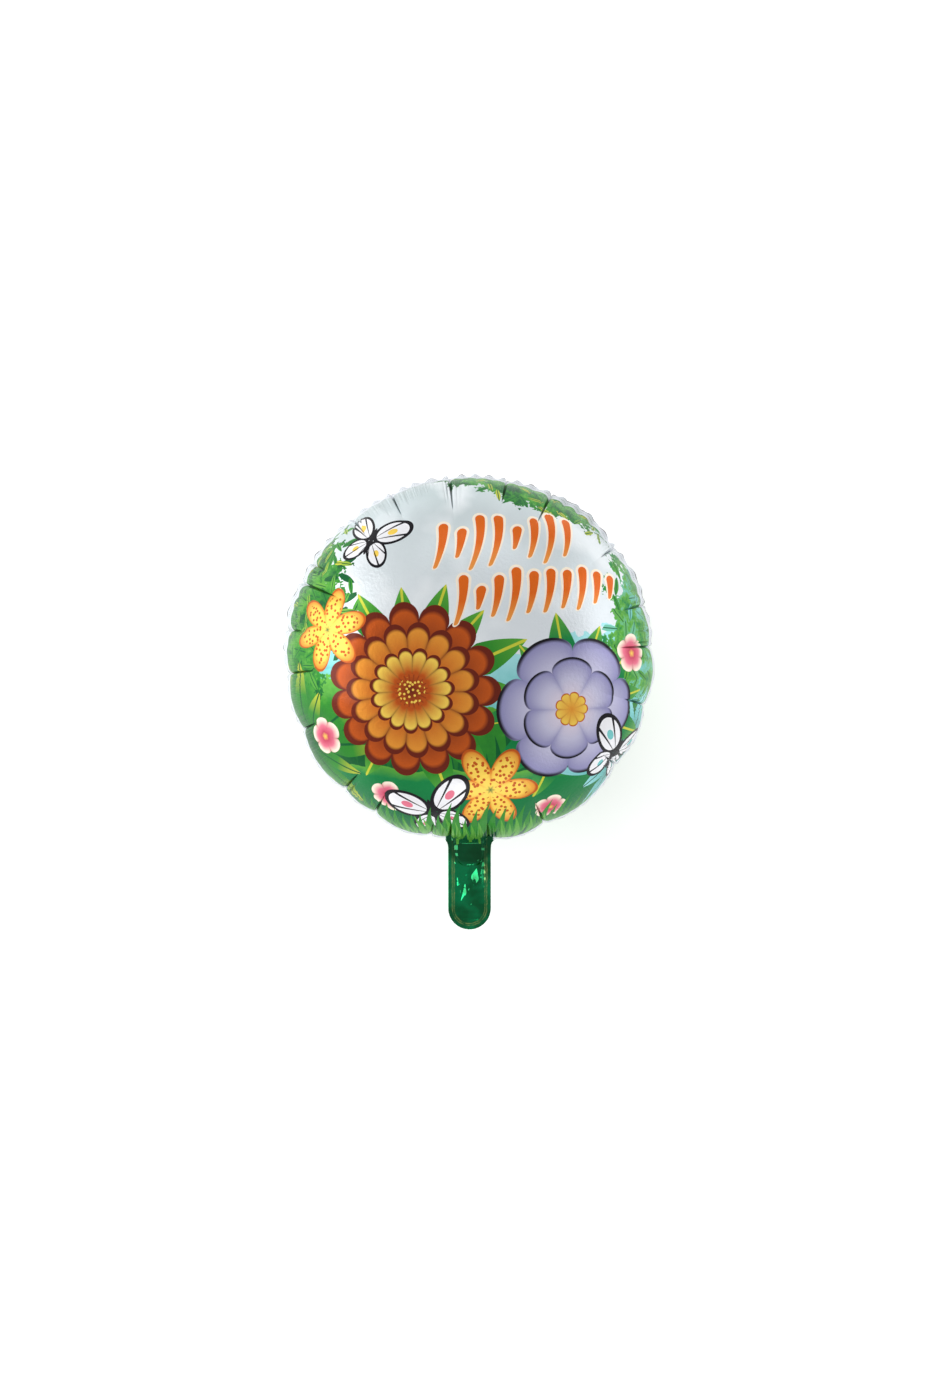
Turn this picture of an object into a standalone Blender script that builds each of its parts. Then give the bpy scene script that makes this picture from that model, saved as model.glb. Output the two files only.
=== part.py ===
"""A round foil party balloon, filled, lying on its back with the printed side up.

Two sheets of foil are cut to one outline, a disc with a filling tail, and are welded
together along their edges. Foil does not stretch, so the gas swells the disc to a shape
that is flat in the middle and steep at the rim, where the spare foil gathers in creases.
The sealed balloon is solid here: each sheet is filled as far as the weld, and the two
meet there.

Lengths are in metres and +Z is up. The origin is the middle of the flat spot that the
balloon lies on, the tail points along -Y, and the printed side faces +Z.
"""
import math

import bmesh
import bpy
from mathutils import Vector

# The disc
FLAT_DIAMETER = 0.450      # across the disc before it is filled
WELD_WIDTH = 0.006         # flat welded edge around the disc
WELD_THICKNESS = 0.0006    # one sheet's share of that edge, the neck and the tail's edge
SHEET_GAP = 0.0003         # between the two sheets, at the weld
REST_RADIUS = 0.034        # flat spot on the back, where it lies

# The creases around the rim: direction from the centre in degrees, and length in metres
CREASES = (
    (3.8, 0.022), (17.0, 0.012), (37.5, 0.017), (63.3, 0.023), (78.3, 0.014),
    (96.5, 0.026), (115.5, 0.018), (130.2, 0.014), (148.8, 0.008), (155.5, 0.027),
    (171.0, 0.008), (184.9, 0.019), (203.0, 0.009), (226.3, 0.013), (238.3, 0.015),
    (257.7, 0.008), (263.5, 0.010), (276.0, 0.010), (294.3, 0.016), (324.0, 0.010),
    (345.0, 0.015),
)
CREASE_DEPTH = 0.0040      # how far the foil is tucked in at the rim
CREASE_WIDTH = 0.0032      # how soon it comes back out beside a crease
LOBE_BULGE = 0.0012        # how far it stands out midway between two creases
STEPS_PER_LOBE = 8
STEP_CROWDING = 0.72       # 0 for even steps, towards 1 for steps close to the creases
RINGS = 10                 # rings of faces from the middle to the weld

# The filling tail
TAIL_WIDTH = 0.040
TAIL_LENGTH = 0.081        # from the disc's welded edge to the tip
TAIL_WELD = 0.0045         # flat welded edge around the tail
TAIL_PUFF = 0.0016         # how far each sheet stands up inside that edge
TAIL_TIP_STEPS = 16
TAIL_ROOT = 0.030          # how far the tail runs in under the swollen disc

# The neck, where the swelling dies out into the tail
NECK_LENGTH = 0.022
NECK_HEIGHT = 0.010
NECK_STEPS = 16

# The print: the meadow's top edge, this share of the filled radius below the middle
MEADOW_SHARE = 0.45

# Shares that follow from foil that cannot stretch: flat radius to filled radius
FLAT_TO_FILLED = 1.3110288
FILLED_RADIUS = (FLAT_DIAMETER / 2 - WELD_WIDTH) / FLAT_TO_FILLED
EDGE_RADIUS = FILLED_RADIUS + WELD_WIDTH


def swell_radius(slope):
    """Distance from the axis where the filled foil slopes at this angle."""
    return FILLED_RADIUS * math.sqrt(math.sin(slope))


def swell_slope(radius):
    """Slope of the filled foil at this distance from the axis."""
    return math.asin(min(1.0, (radius / FILLED_RADIUS) ** 2))


def swell_height(slope, parts=48):
    """Height over the weld where the foil slopes at this angle, by Simpson's rule."""
    width = (math.pi / 2 - slope) / parts
    total = 0.0
    for i in range(parts + 1):
        weight = 1 if i in (0, parts) else 4 if i % 2 else 2
        total += weight * math.sqrt(math.sin(slope + i * width))
    return FILLED_RADIUS / 2 * total * width / 3


WELD_HEIGHT = swell_height(swell_slope(REST_RADIUS)) + WELD_THICKNESS + SHEET_GAP / 2


def disc_profile(flat_radius):
    """Half outline of one sheet's solid, from the top of the axis round to its foot.

    With a flat_radius, the middle is level out to that distance from the axis.
    """
    first = math.sqrt(swell_slope(flat_radius) / (math.pi / 2))
    shares = [first + (1 - first) * i / RINGS for i in range(RINGS + 1)]
    slopes = [math.pi / 2 * share ** 2 for share in shares]
    dome = [(swell_radius(a), swell_height(a) + WELD_THICKNESS) for a in slopes]
    middle = [(0.0, dome[0][1])] if flat_radius else []
    edge = [(EDGE_RADIUS, WELD_THICKNESS), (EDGE_RADIUS, 0.0), (0.0, 0.0)]
    return middle + dome + edge


def turned(name, profile):
    """The closed mesh that a profile of (radius, height) sweeps about Z."""
    mesh = bpy.data.meshes.new(name)
    points = [(radius, 0.0, height) for radius, height in profile]
    mesh.from_pydata(points, [(i, i + 1) for i in range(len(points) - 1)], [])
    obj = bpy.data.objects.new(name, mesh)
    bpy.context.scene.collection.objects.link(obj)
    turn = obj.modifiers.new("Turn", "SCREW")
    turn.steps = turn.render_steps = STEPS_PER_LOBE * len(CREASES)
    turn.use_merge_vertices = True
    turn.merge_threshold = 0.00001
    turn.use_smooth_shade = True
    made = bpy.data.meshes.new_from_object(
        obj.evaluated_get(bpy.context.evaluated_depsgraph_get())
    )
    bpy.data.objects.remove(obj)
    return made


def rim_place(turn):
    """(angle, gap to the nearest crease, bulge from 0 to 1, crease's length) for a share
    of a full turn. Steps are drawn together at the creases, so that each one is sharp."""
    lobe, along = divmod(turn * len(CREASES), 1.0)
    lobe = int(lobe) % len(CREASES)
    start, length_here = CREASES[lobe]
    end, length_next = CREASES[(lobe + 1) % len(CREASES)]
    span = math.radians((end - start) % 360.0)
    along -= STEP_CROWDING * math.sin(math.tau * along) / math.tau
    length = length_here if along < 0.5 else length_next
    return (
        math.radians(start) + span * along,
        span * min(along, 1 - along),
        math.sin(math.pi * along),
        length,
    )


def gather(mesh):
    """Tucks the rim in at the creases and lets it stand out between them."""
    for vertex in mesh.vertices:
        x, y, z = vertex.co
        radius = math.hypot(x, y)
        if radius < 0.001:
            continue
        angle, gap, bulge, length = rim_place(math.atan2(y, x) / math.tau % 1.0)
        slope = swell_slope(radius)
        share = max(0.0, (radius - FILLED_RADIUS + length) / length)
        near = min(1.0, share) ** 1.5
        tuck = CREASE_DEPTH * math.exp(-gap * radius / CREASE_WIDTH)
        push = near * (LOBE_BULGE * bulge - tuck)
        out = Vector((math.cos(angle), math.sin(angle)))
        x, y = out * (radius + push * math.sin(slope))
        if radius < FILLED_RADIUS:
            z += push * math.cos(slope)
        vertex.co = x, y, z


def closed_at_weld(bm):
    """Cuts a closed shape off flat at the weld and keeps what is above."""
    everything = bm.verts[:] + bm.edges[:] + bm.faces[:]
    bmesh.ops.bisect_plane(
        bm, geom=everything, plane_co=(0, 0, 0), plane_no=(0, 0, 1), clear_inner=True
    )
    bmesh.ops.holes_fill(bm, edges=[e for e in bm.edges if e.is_boundary])


def tail_mesh():
    """One sheet's half of the tail: a thin welded edge around a raised middle."""
    half = TAIL_WIDTH / 2
    root = TAIL_ROOT - FILLED_RADIUS
    tip_centre = half - EDGE_RADIUS - TAIL_LENGTH
    turns = [math.pi * i / TAIL_TIP_STEPS for i in range(TAIL_TIP_STEPS + 1)]
    tip = [(-half * math.cos(a), tip_centre - half * math.sin(a)) for a in turns]
    outline = [(-half, root), *tip, (half, root)]
    bm = bmesh.new()
    face = bm.faces.new([bm.verts.new((x, y, 0.0)) for x, y in outline])
    lifted = bmesh.ops.extrude_face_region(bm, geom=[face])["geom"]
    verts = [v for v in lifted if isinstance(v, bmesh.types.BMVert)]
    bmesh.ops.translate(bm, verts=verts, vec=(0, 0, WELD_THICKNESS))
    bmesh.ops.recalc_face_normals(bm, faces=bm.faces)
    top = [f for f in bm.faces if f.normal.z > 0.9]
    bmesh.ops.inset_region(bm, faces=top, thickness=TAIL_WELD, use_even_offset=True)
    bmesh.ops.inset_region(
        bm, faces=top, thickness=TAIL_PUFF, depth=TAIL_PUFF, use_even_offset=True
    )
    return finished(bm, "tail")


def neck_mesh():
    """One sheet's half of the bulge that runs from the disc into the tail."""
    bm = bmesh.new()
    bmesh.ops.create_uvsphere(bm, u_segments=NECK_STEPS, v_segments=NECK_STEPS // 2, radius=1)
    size = Vector((TAIL_WIDTH / 2 - TAIL_WELD, WELD_WIDTH + NECK_LENGTH, NECK_HEIGHT))
    bmesh.ops.scale(bm, verts=bm.verts, vec=size)
    bmesh.ops.translate(bm, verts=bm.verts, vec=(0, -FILLED_RADIUS, 0))
    closed_at_weld(bm)
    return finished(bm, "neck")


def finished(bm, name):
    bmesh.ops.recalc_face_normals(bm, faces=bm.faces)
    mesh = bpy.data.meshes.new(name)
    bm.to_mesh(mesh)
    bm.free()
    return mesh


def mirrored(mesh):
    """Turns a mesh over at the weld, for the sheet below it."""
    bm = bmesh.new()
    bm.from_mesh(mesh)
    bmesh.ops.scale(bm, verts=bm.verts, vec=(1, 1, -1))
    bmesh.ops.reverse_faces(bm, faces=bm.faces)
    bm.to_mesh(mesh)
    bm.free()


def foil(name, colour, roughness, metallic):
    material = bpy.data.materials.new(name)
    material.use_nodes = True
    shader = material.node_tree.nodes["Principled BSDF"]
    shader.inputs["Base Color"].default_value = (*colour, 1.0)
    shader.inputs["Roughness"].default_value = roughness
    shader.inputs["Metallic"].default_value = metallic
    return material


def dressed(mesh, sky, meadow, tail):
    """Gives a mesh its printed sky, its meadow below that, and the tail's green foil."""
    for material in (sky, meadow, tail):
        mesh.materials.append(material)
    meadow_top = -MEADOW_SHARE * FILLED_RADIUS
    for face in mesh.polygons:
        y = face.center.y
        beyond_disc = face.center.xy.length > EDGE_RADIUS
        face.material_index = 2 if y < 0 and beyond_disc else 1 if y < meadow_top else 0
    mesh.shade_smooth()
    mesh.set_sharp_from_angle(angle=math.radians(35))


def sheet(name, side, flat_radius, materials, parts, helpers):
    """One sheet of the balloon: side is 1 above the weld and -1 below it."""
    disc = turned(name, disc_profile(flat_radius))
    gather(disc)
    meshes = [disc, tail_mesh(), neck_mesh()]
    for mesh in meshes:
        if side < 0:
            mirrored(mesh)
        dressed(mesh, *materials)
    place = Vector((0, 0, WELD_HEIGHT + side * SHEET_GAP / 2))
    body = bpy.data.objects.new(name, disc)
    parts.objects.link(body)
    body.location = place
    for mesh in meshes[1:]:
        joined = bpy.data.objects.new(f"{name}_{mesh.name}", mesh)
        helpers.objects.link(joined)
        joined.location = place
        joined.hide_render = True
        joined.display_type = "WIRE"
        union = body.modifiers.new(f"Join {mesh.name}", "BOOLEAN")
        union.operation = "UNION"
        union.object = joined
    return body


def main():
    for obj in list(bpy.data.objects):
        bpy.data.objects.remove(obj)
    parts = bpy.data.collections.new("Foil balloon")
    helpers = bpy.data.collections.new("Shapes joined to the sheets")
    for collection in (parts, helpers):
        bpy.context.scene.collection.children.link(collection)
    materials = (
        foil("Printed sky foil", (0.62, 0.68, 0.70), 0.32, 0.35),
        foil("Printed meadow foil", (0.02, 0.22, 0.06), 0.32, 0.35),
        foil("Green tail foil", (0.0, 0.16, 0.05), 0.18, 1.0),
    )
    sheet("front_foil", 1, 0.0, materials, parts, helpers)
    sheet("back_foil", -1, REST_RADIUS, materials, parts, helpers)


main()
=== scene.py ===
"""A round foil party balloon, filled, lying on its back: its looks, in the frame of its solids."""
import math
from functools import partialmethod

import bpy
import numpy as np
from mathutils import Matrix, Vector


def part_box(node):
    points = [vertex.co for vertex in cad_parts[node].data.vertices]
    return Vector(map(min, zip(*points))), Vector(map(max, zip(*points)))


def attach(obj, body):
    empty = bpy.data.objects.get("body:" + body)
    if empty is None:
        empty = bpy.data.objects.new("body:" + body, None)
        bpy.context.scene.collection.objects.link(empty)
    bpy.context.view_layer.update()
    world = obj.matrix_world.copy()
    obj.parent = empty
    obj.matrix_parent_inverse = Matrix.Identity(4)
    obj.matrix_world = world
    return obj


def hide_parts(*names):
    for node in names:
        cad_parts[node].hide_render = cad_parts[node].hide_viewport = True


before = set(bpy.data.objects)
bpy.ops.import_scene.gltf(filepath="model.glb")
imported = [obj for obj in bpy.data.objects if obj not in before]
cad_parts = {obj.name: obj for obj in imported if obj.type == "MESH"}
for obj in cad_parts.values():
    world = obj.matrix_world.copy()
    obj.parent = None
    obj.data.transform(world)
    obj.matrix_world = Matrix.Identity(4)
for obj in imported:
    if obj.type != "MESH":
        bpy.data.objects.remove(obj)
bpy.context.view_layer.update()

# The view. The photograph shows the balloon upright, so here the camera looks straight down on
# it, through a long lens, from about as far off as such a thing is photographed.
PHOTO_WIDTH = 933
PHOTO_HEIGHT = 1400
DISC_CENTRE_X = 469.5  # pixels of the photograph
DISC_CENTRE_Y = 658.5
DISC_WIDTH = 371
CAMERA_HEIGHT = 2.7
FILM_LONG_SIDE = 36.0  # millimetres, as lenses are named
SEEN_FROM = 0.05  # the nearest and the farthest that the camera sees
SEEN_TO = 50.0

front_low, front_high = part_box("front_foil")
back_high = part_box("back_foil")[1]
weld_height = (front_low.z + back_high.z) / 2
metres_per_pixel = (front_high.x - front_low.x) / DISC_WIDTH

camera = bpy.data.objects.new("camera", bpy.data.cameras.new("camera"))
bpy.context.scene.collection.objects.link(camera)
bpy.context.scene.camera = camera
camera.data.type = "PERSP"
camera.data.sensor_width = FILM_LONG_SIDE
view_height = PHOTO_HEIGHT * metres_per_pixel
camera.data.lens = FILM_LONG_SIDE * (CAMERA_HEIGHT - weld_height) / view_height
camera.location = (
    (PHOTO_WIDTH / 2 - DISC_CENTRE_X) * metres_per_pixel,
    (DISC_CENTRE_Y - PHOTO_HEIGHT / 2) * metres_per_pixel,
    CAMERA_HEIGHT,
)
camera.data.clip_start = SEEN_FROM
camera.data.clip_end = SEEN_TO

# The studio: a white floor that glows a little, as a light table does, and a room that is white
# low down and dimmer overhead. Softboxes stand low at the sides, where the foil mirrors them on
# its steep rim and in the folds of its tail, and not over the print.
FLOOR_SIZE = 9.0
FLOOR_DROP = 0.0002  # keeps it clear of the flat spot that lies on it
FLOOR_WHITE = (0.93, 0.93, 0.93, 1.0)
FLOOR_ROUGHNESS = 0.9
FLOOR_GLOW = 0.41
ROOM_SHADES = (
    # share of the way up, brightness
    (0.0, 0.85), (0.10, 0.62), (0.34, 0.43), (0.80, 0.40), (1.0, 0.46),
)
LAMPS = (
    # name, watts, width and height in metres, place
    ("left_softbox", 26, 1.7, 1.3, (-1.9, 0.2, 0.95)),
    ("right_softbox", 12, 1.5, 1.3, (1.9, 0.5, 0.85)),
    ("top_softbox", 7, 1.8, 1.0, (0.1, 1.8, 1.60)),
    ("low_softbox", 10, 1.6, 0.7, (0.3, -1.9, 1.00)),
)

bpy.context.scene.view_settings.view_transform = "Standard"
room = bpy.data.worlds.new("room")
bpy.context.scene.world = room
room.use_nodes = True
room_nodes, room_links = room.node_tree.nodes, room.node_tree.links
towards = room_nodes.new("ShaderNodeTexCoord")
height_of = room_nodes.new("ShaderNodeSeparateXYZ")
shades = room_nodes.new("ShaderNodeValToRGB")
while len(shades.color_ramp.elements) < len(ROOM_SHADES):
    shades.color_ramp.elements.new(1.0)
for element, (place, grey) in zip(shades.color_ramp.elements, ROOM_SHADES):
    element.position = place
    element.color = (grey, grey, grey, 1.0)
room_links.new(towards.outputs["Generated"], height_of.inputs[0])
room_links.new(height_of.outputs["Z"], shades.inputs["Fac"])
room_links.new(shades.outputs["Color"], room_nodes["Background"].inputs["Color"])

bpy.ops.mesh.primitive_plane_add(size=FLOOR_SIZE, location=(0, 0, -FLOOR_DROP))
floor = bpy.context.object
floor.name = "floor"
table = bpy.data.materials.new("white_table")
table.use_nodes = True
table_surface = table.node_tree.nodes["Principled BSDF"]
table_surface.inputs["Base Color"].default_value = FLOOR_WHITE
table_surface.inputs["Roughness"].default_value = FLOOR_ROUGHNESS
table_surface.inputs["Emission Color"].default_value = (1.0, 1.0, 1.0, 1)
table_surface.inputs["Emission Strength"].default_value = FLOOR_GLOW
floor.data.materials.append(table)

for name, watts, width, height, place in LAMPS:
    lamp = bpy.data.lights.new(name, "AREA")
    lamp.shape = "RECTANGLE"
    lamp.size = width
    lamp.size_y = height
    lamp.energy = watts
    stand = bpy.data.objects.new(name, lamp)
    bpy.context.scene.collection.objects.link(stand)
    stand.location = place
    stand.rotation_euler = (-Vector(place)).to_track_quat("-Z", "Y").to_euler()
    stand.visible_camera = False


# The foil disc, the same for both sheets: thin polyester film with a metal coat, cut to one
# outline. Film can't stretch, so gas swells the flat disc to a shape that is level in the middle
# and steep at the rim, where the spare length gathers in creases and fine wrinkles.
FLAT_DIAMETER = 0.450  # over the weld, before it is filled
WELD_WIDTH = 0.006
FLAT_RADIUS = FLAT_DIAMETER / 2 - WELD_WIDTH
FLAT_TO_FILLED = 1.3110288  # how much the disc draws in when it fills
FILLED_RADIUS = FLAT_RADIUS / FLAT_TO_FILLED
FILM_EDGE = 0.00028  # one sheet's edge, as it looks with its curl
SHEET_GAP = 0.00004  # between the sheets at the weld
REST_RADIUS = 0.034  # the flat spot that the balloon lies on
AROUND = 1280  # steps around the rim
CROWDING = 2.8  # how much closer the steps are at a crease
CROWDED_WITHIN = 0.024  # how far to each side of it, in radians
RINGS = (
    # flat distance at which a zone of rings ends, its number of rings, and its steps between
    (0.060, 8, 4), (0.135, 14, 2), (0.181, 16, 1), (1.0, 32, 1),
)
CREASES = (
    # degrees round from +X, length in plan, depth, steep side, and how far off a second one
    # lies, in radians
    (3.8, 0.027, 0.0042, 1, 0), (17.0, 0.017, 0.0036, -1, 0), (37.5, 0.014, 0.0038, 1, 0),
    (63.3, 0.028, 0.0050, -1, 0.031), (78.3, 0.021, 0.0042, 1, 0),
    (96.5, 0.031, 0.0052, 1, 0.020), (115.5, 0.022, 0.0034, -1, 0), (130.2, 0.018, 0.0032, 1, 0),
    (148.8, 0.010, 0.0026, 1, 0), (155.5, 0.033, 0.0052, -1, 0), (171.0, 0.010, 0.0026, 1, 0),
    (184.9, 0.023, 0.0042, 1, 0), (203.0, 0.012, 0.0028, -1, 0), (226.3, 0.018, 0.0042, 1, 0.026),
    (238.3, 0.019, 0.0042, -1, 0), (257.7, 0.010, 0.0028, 1, 0), (263.6, 0.013, 0.0040, -1, 0.030),
    (276.2, 0.013, 0.0040, 1, 0.030), (294.3, 0.021, 0.0042, -1, 0), (324.0, 0.013, 0.0034, 1, 0),
    (345.0, 0.019, 0.0040, -1, 0),
)
CREASE_WIDTH = 0.0018  # in which a crease's wall rises by two thirds
CREASE_TAPER = 0.35  # its width at the inner end, as a share of that at the weld
STEEP_WALL = 0.4  # width of its steep wall, as a share of the other's
CREASE_RISE = (
    # share of the way out along it, share of its full depth
    (0.0, 0.0), (0.12, 0.5), (0.38, 1.0), (0.75, 0.85), (1.0, 0.42),
)
PAINTED_SHADE_LINE = 0.24  # half width of the painted shade along its bottom, as a share of its wall's
# The soft dent that a crease lies in: lengths of the crease, longest, depth and width
DENT = (2.2, 0.06, 0.0012, 0.011)
# A second crease beside it: shares of its length and depth, width, and how strongly painted
# shade darkens its bottom
SECOND = (0.72, 0.6, 0.0012, 0.8)
# The fine folds beside it: how far off in radians, share of its length, depth and how strongly
# painted shade darkens their bottoms, each from and to
BESIDE = ((0.018, 0.10), (0.4, 1.0), (0.0005, 0.0013), (0, 0.5))
BESIDE_COUNT = 7
BESIDE_WIDTH = 0.0011
PUCKER_SPAN = 4.4  # degrees of rim to each small pucker of the weld
PUCKER_RISE = 0.0011  # how far a pucker stands out
PUCKER_REACH = 0.006  # how far in from the weld it fades
PUCKER_GAIN = 3.2  # how much more it stands out where the weld isn't folded back
RIPPLE_RISE = 0.0007  # height of the ripple that runs in from each pucker
RIPPLE_START = 0.003  # how far in from the weld it begins
RIPPLE_SHORTEST = 0.004  # how far in the shortest goes, and how much farther the longest
RIPPLE_MORE = 0.012
RIPPLES_UNLIKE = 40  # how many there are before they repeat
LOBE_SPAN = 18  # degrees between two creases that let a lobe stand out in full
LOBE_REACH = 0.085  # how far in from the weld a lobe begins
WRINKLE = ((0.003, 0.014), (0.0003, 0.0009))  # length and depth, each from and to
WRINKLE_WIDTH = 0.0013
WRINKLED = (
    # degrees from and to, and how many fine wrinkles lie between
    (146, 176, 30), (84, 112, 22), (28, 60, 16), (0, 360, 84),
)
RIM_STATE = (
    # degrees round, how lively the weld puckers, how far it folds back, in radians, and how far
    # the foil stands out midway between two creases
    (0, 0.20, 1.25, 0.0052), (14, 0.45, 1.00, 0.0034), (25, 0.85, 0.72, 0.0016),
    (40, 0.90, 0.95, 0.0012), (50, 0.90, 0.42, 0.0014), (58, 0.90, 0.50, 0.0014),
    (70, 0.95, 0.95, 0.0016), (100, 1.00, 1.12, 0.0014), (138, 0.90, 1.10, 0.0020),
    (150, 0.80, 0.68, 0.0034), (172, 0.75, 0.84, 0.0052),
    (190, 0.35, 1.25, 0.0040), (230, 0.18, 1.30, 0.0046), (300, 0.20, 1.30, 0.0048),
    (330, 0.25, 1.28, 0.0034), (360, 0.20, 1.25, 0.0052),
)
TAIL_DIRECTION = math.radians(270)
SMOOTH_AT_TAIL = 0.026  # half the width of rim that the tail keeps free of puckers
FLAT_AT_TAIL = 0.0235  # the same for the weld's folding back
TAIL_FADE = 0.006
RIM_SEED = 11


def filled_profile(steps=3000):
    """Flat distance from the middle, radius, height over the weld and slope, along the foil."""
    share = np.linspace(0, 1, steps + 1)
    slope = math.pi / 2 * share ** 2
    root = np.sqrt(np.sin(slope))
    flat_rate = np.full(steps + 1, math.sqrt(math.tau))
    flat_rate[1:] = math.pi * share[1:] / root[1:]
    drop_rate = math.pi * share * root
    flat = np.zeros(steps + 1)
    drop = np.zeros(steps + 1)
    flat[1:] = np.cumsum((flat_rate[1:] + flat_rate[:-1]) / 2)
    drop[1:] = np.cumsum((drop_rate[1:] + drop_rate[:-1]) / 2)
    scale = FILLED_RADIUS / 2 / steps
    return flat * scale, FILLED_RADIUS * root, (drop[-1] - drop) * scale, slope


PROFILE = filled_profile()
WELD_AT = PROFILE[0][-1]
PRINTED, BAND, HIDDEN, TAIL = range(4)  # the kinds of faces that a sheet has
MATERIAL_OF = (0, 1, 1, 2)  # the material of each kind
MAP_CENTRE = (1.25, 1.46)  # where a sheet lies on its flat map, in the disc's radii
MAP_SIZE = 2.5
HIDDEN_MAP_AT = 0.06  # its hidden side, in a corner of the map
HIDDEN_MAP_SIZE = 0.04


def turn_between(angle, other):
    """Signed angle from other to angle, the short way round."""
    return (angle - other + math.pi) % math.tau - math.pi


def angles_around(count):
    """Angles round the rim, closer together at the creases, with one on each crease."""
    fine = np.linspace(0, math.tau, 8 * count + 1)
    close = np.ones(len(fine))
    marks = [math.radians(degrees) for degrees, *_ in CREASES]
    for mark in marks:
        close += CROWDING * np.exp(-np.abs(turn_between(fine, mark)) / CROWDED_WITHIN)
    share = np.concatenate(([0.0], np.cumsum((close[1:] + close[:-1]) / 2)))
    angles = np.interp(np.arange(count) / count, share / share[-1], fine)
    for mark in marks:
        angles[np.argmin(np.abs(turn_between(angles, mark)))] = mark
    return angles


def rim_waves(angles):
    """Count of puckers passed, share of the way across the lobe, and each lobe's span.

    Both sheets share the weld, so this draws its own random numbers, the same for both.
    """
    random = np.random.default_rng(RIM_SEED)
    marks = [math.radians(degrees) for degrees, *_ in CREASES]
    spans = [(after - before) % math.tau for before, after in zip(marks, marks[1:] + marks[:1])]
    ends = [marks[0]]
    for span in spans:
        free = 1 + np.clip(1 - rim_state(ends[-1])[1], 0, 1)
        count = max(1, round(math.degrees(span) / PUCKER_SPAN / free))
        steps = random.uniform(0.7, 1.3, count)
        ends += list(ends[-1] + span * np.cumsum(steps) / steps.sum())
    turn = (angles - marks[0]) % math.tau + marks[0]
    puckers = np.interp(turn, ends, np.arange(len(ends)))
    starts = np.cumsum([marks[0]] + spans)
    lobe = np.clip(np.searchsorted(starts, turn, side="right") - 1, 0, len(spans) - 1)
    span = np.array(spans)[lobe]
    return puckers, (turn - starts[lobe]) / span, span


def rim_state(angles):
    """How lively the weld puckers, how far it folds back and how far lobes stand out."""
    degrees, *columns = zip(*RIM_STATE)
    turn = np.degrees(angles) % 360
    return [np.interp(turn, degrees, column) for column in columns]


def valley(reach):
    """Cross-section of a crease: 1 at its sharp bottom, with a low ridge along each side."""
    return np.exp(-reach) * (1 - 0.5 * reach ** 2)


def crease_list(random):
    """Every crease and wrinkle of one sheet.

    Each has its angle, length, depth, width, steep side, whether both sheets have it, and how
    strongly painted shade darkens its bottom.
    """
    found = []
    for degrees, length, depth, side, second in CREASES:
        angle = math.radians(degrees)
        found.append((angle, length, depth, CREASE_WIDTH, side, True, 1.0))
        lengths, longest, dent_depth, wide = DENT
        found.append((angle, min(longest, lengths * length), dent_depth, wide, 0, False, 0.0))
        if second:
            beside = angle + side * second
            long, deep, wide, dark = SECOND
            found.append((beside, long * length, deep * depth, wide, -side, False, dark))
        for _ in range(BESIDE_COUNT):
            turned = random.choice((-1, 1))
            off, long, deep, dark = [random.uniform(*limits) for limits in BESIDE]
            beside = angle + turned * off
            found.append((beside, length * long, deep, BESIDE_WIDTH, 0, False, dark))
    for first, last, count in WRINKLED:
        for _ in range(count):
            angle = math.radians(random.uniform(first, last))
            length, depth = [random.uniform(*limits) for limits in WRINKLE]
            found.append((angle, length, depth, WRINKLE_WIDTH, 0, False, 0.0))
    return found


def near_tail(angles, half_width):
    """1 where the tail leaves the disc, 0 elsewhere."""
    off = np.abs(turn_between(angles, TAIL_DIRECTION)) * FILLED_RADIUS
    return np.clip((half_width - off) / TAIL_FADE, 0, 1)


def gathered(flat, radius, angles, side, random):
    """How far the foil stands out from its smooth filled shape, and how much painted shade
    darkens the bottom of a crease there.

    flat and radius have one value for each ring, and the results a row for each ring.
    """
    out = np.zeros((len(flat), len(angles)))
    painted_crease_shade = np.zeros_like(out)
    lively, folded, bulge = rim_state(angles)
    for angle, length, depth, width, steep, shared, dark in crease_list(random):
        start = np.interp(FILLED_RADIUS - length, PROFILE[1], PROFILE[0])
        rows = flat > start
        grown = ((flat[rows] - start) / (WELD_AT - start))[:, None]
        across = turn_between(angles, angle)[None, :] * radius[rows][:, None]
        rise = np.interp(grown, *zip(*CREASE_RISE))
        wide = width * (CREASE_TAPER + (1 - CREASE_TAPER) * grown)
        wall = np.where(across * steep > 0, STEEP_WALL * wide, wide)
        fall = depth * rise * valley(np.abs(across) / wall)
        if not shared:
            fall = fall * (1 - grown ** 6)
        out[rows] -= fall
        # Painted shade: a dark line along the bottom of each crease, which the print is darkened by.
        line = np.exp(-(np.abs(across) / (PAINTED_SHADE_LINE * wide)) ** 1.6)
        painted_crease_shade[rows] = np.maximum(painted_crease_shade[rows], dark * rise ** 0.6 * line)
    puckers, along, span = rim_waves(angles)
    inside = np.clip(WELD_AT - flat, 0, None)[:, None]
    lobe_rise = np.clip(np.degrees(span) / LOBE_SPAN, 0.3, 1.2) * np.sin(math.pi * along) ** 0.7
    out += bulge * lobe_rise * np.clip(1 - inside / LOBE_REACH, 0, 1) ** 1.5
    calm = lively * (1 - near_tail(angles, SMOOTH_AT_TAIL))
    free = 1 + PUCKER_GAIN * np.clip(1 - folded, 0, 1)
    scallop = calm * free * PUCKER_RISE * np.abs(np.sin(math.pi * puckers))
    out += scallop * np.exp(-inside / PUCKER_REACH)
    which = puckers % RIPPLES_UNLIKE
    each = np.arange(RIPPLES_UNLIKE + 1)
    strength = np.interp(which, each, random.uniform(0.3, 1, len(each)))
    more = np.interp(which, each, random.uniform(0, 1, len(each)))
    reach = RIPPLE_SHORTEST + RIPPLE_MORE * more
    ripple = RIPPLE_RISE * strength * np.exp(-inside / reach)
    ripple = ripple * (1 - np.exp(-inside / RIPPLE_START))
    out += side * calm * np.cos(math.tau * puckers) * ripple
    return out, painted_crease_shade


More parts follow.
